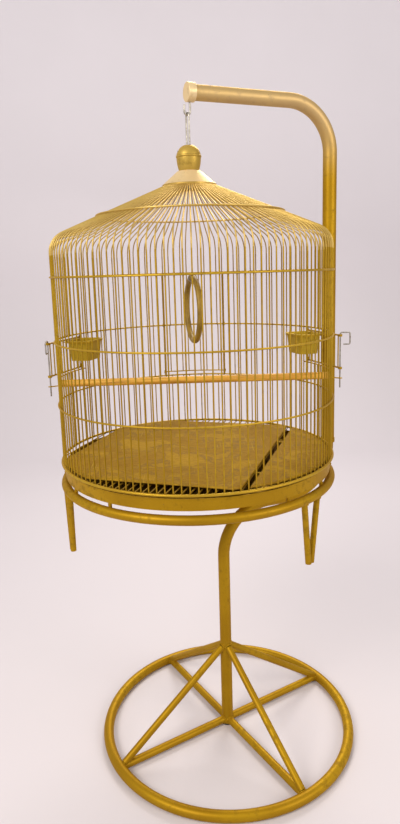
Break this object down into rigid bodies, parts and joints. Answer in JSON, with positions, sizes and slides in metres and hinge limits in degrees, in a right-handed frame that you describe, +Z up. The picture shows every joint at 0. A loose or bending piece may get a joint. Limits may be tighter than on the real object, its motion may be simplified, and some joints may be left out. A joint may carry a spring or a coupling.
{
  "type": "bird cage on stand",
  "caption": "Round hanging bird cage with conical roof, side feeders, perch, ring swing and slide-out tray, on an offset tube stand with a wheel-shaped base.",
  "frame": {"origin": "on the floor, centre of the flat foot of the post, at the centre of the round base", "axes": "+Z up, +X to the right of someone in front of the cage, +Y away from them"},
  "size_m": [0.5457, 0.5069, 1.196],
  "materials": {
    "frame_gold": "satin gold paint on steel tube",
    "cage_gold": "satin gold paint on steel wire",
    "cap_cream": "pale gold paint on pressed sheet",
    "knob_gold": "satin gold paint, worn",
    "steel_wire": "dull zinc wire",
    "perch_wood": "varnished dowel",
    "swing_gold": "olive gold, matt",
    "board_brown": "brown fibre board, scuffed",
    "tray_gold": "satin gold paint on pressed sheet",
    "cup_gold": "satin gold paint on pressed sheet",
    "plug_black": "moulded plug"
  },
  "bodies": {
    "stand": {"base_ring": "frame_gold", "base_spokes": "frame_gold", "base_braces": "frame_gold", "post_foot_plug": "plug_black", "lower_tube": "frame_gold", "pole_stop_ring": "frame_gold"},
    "arm": {"upper_tube": "frame_gold", "arm_end_cap": "cap_cream", "arm_hook": "steel_wire"},
    "hanger": {"hanger_link": "steel_wire"},
    "cage": {"knob_barrel": "knob_gold", "knob_seam_ring": "knob_gold", "knob_dome": "knob_gold", "knob_pin": "steel_wire", "roof_cap": "cap_cream", "crown_ring": "cage_gold", "roof_bars": "cage_gold", "eave_bars": "cage_gold", "roof_ring": "cage_gold", "wall_bars": "cage_gold", "hoop_top": "cage_gold", "hoop_middle": "cage_gold", "hoop_lower": "cage_gold", "bottom_wire_ring": "cage_gold", "main_door_guides": "cage_gold", "perch": "perch_wood", "swing_eye": "steel_wire", "floor_grate": "cage_gold", "grate_bearers": "cage_gold", "floor_board_large": "board_brown", "floor_board_small": "board_brown", "lower_ring": "frame_gold", "ring_posts": "frame_gold", "tray_pegs": "frame_gold", "cage_legs": "frame_gold", "feeder_hinge_rod_left": "cage_gold", "feeder_sill_left": "cage_gold", "feeder_keeper_left": "cage_gold", "feeder_hinge_rod_right": "cage_gold", "feeder_sill_right": "cage_gold", "feeder_keeper_right": "cage_gold"},
    "swing": {"swing_wire": "steel_wire", "swing_ring": "swing_gold"},
    "tray": {"tray": "tray_gold"},
    "main_door": {"main_door": "cage_gold"},
    "feeder_left": {"feeder_door_left": "cage_gold"},
    "feeder_cup_left": {"feeder_cup_left": "cup_gold"},
    "feeder_latch_left": {"feeder_latch_left": "steel_wire"},
    "feeder_right": {"feeder_door_right": "cage_gold"},
    "feeder_cup_right": {"feeder_cup_right": "cup_gold"},
    "feeder_latch_right": {"feeder_latch_right": "steel_wire"}
  },
  "joints": [
    {"name": "arm_swivel", "type": "hinge", "parent": "stand", "child": "arm", "pos_m": [0.21414, 0.08392, 0.56], "axis": [0, 0, 1], "range_deg": [-25, 25]},
    {"name": "hanger_swing", "type": "hinge", "parent": "arm", "child": "hanger", "pos_m": [-0.04376, -0.01715, 1.145], "axis": [0.9311, 0.3649, 0], "range_deg": [-5, 5]},
    {"name": "cage_swivel", "type": "hinge", "parent": "hanger", "child": "cage", "pos_m": [-0.04376, -0.01715, 1.086], "axis": [0, 0, 1], "range_deg": [-20, 15]},
    {"name": "bird_swing", "type": "hinge", "parent": "cage", "child": "swing", "pos_m": [-0.04376, -0.01715, 1.036], "axis": [-0.2079, 0.9781, 0], "range_deg": [-30, 30]},
    {"name": "tray_slide", "type": "slide", "parent": "cage", "child": "tray", "axis": [0, -1, 0], "range_m": [0, 0.3]},
    {"name": "main_door_lift", "type": "slide", "parent": "cage", "child": "main_door", "axis": [0, 0, 1], "range_m": [0, 0.09]},
    {"name": "feeder_door_left", "type": "hinge", "parent": "cage", "child": "feeder_left", "pos_m": [-0.261, 0.07957, 0.746], "axis": [0, 0, -1], "range_deg": [0, 100]},
    {"name": "feeder_cup_lift_left", "type": "slide", "parent": "feeder_left", "child": "feeder_cup_left", "axis": [0, 0, 1], "range_m": [0, 0.05]},
    {"name": "feeder_latch_lift_left", "type": "slide", "parent": "feeder_left", "child": "feeder_latch_left", "axis": [0, 0, 1], "range_m": [0, 0.02]},
    {"name": "feeder_door_right", "type": "hinge", "parent": "cage", "child": "feeder_right", "pos_m": [0.17348, 0.07957, 0.746], "axis": [0, 0, 1], "range_deg": [0, 50]},
    {"name": "feeder_cup_lift_right", "type": "slide", "parent": "feeder_right", "child": "feeder_cup_right", "axis": [0, 0, 1], "range_m": [0, 0.0035]},
    {"name": "feeder_latch_lift_right", "type": "slide", "parent": "feeder_right", "child": "feeder_latch_right", "axis": [0, 0, 1], "range_m": [0, 0.02]}
  ]
}
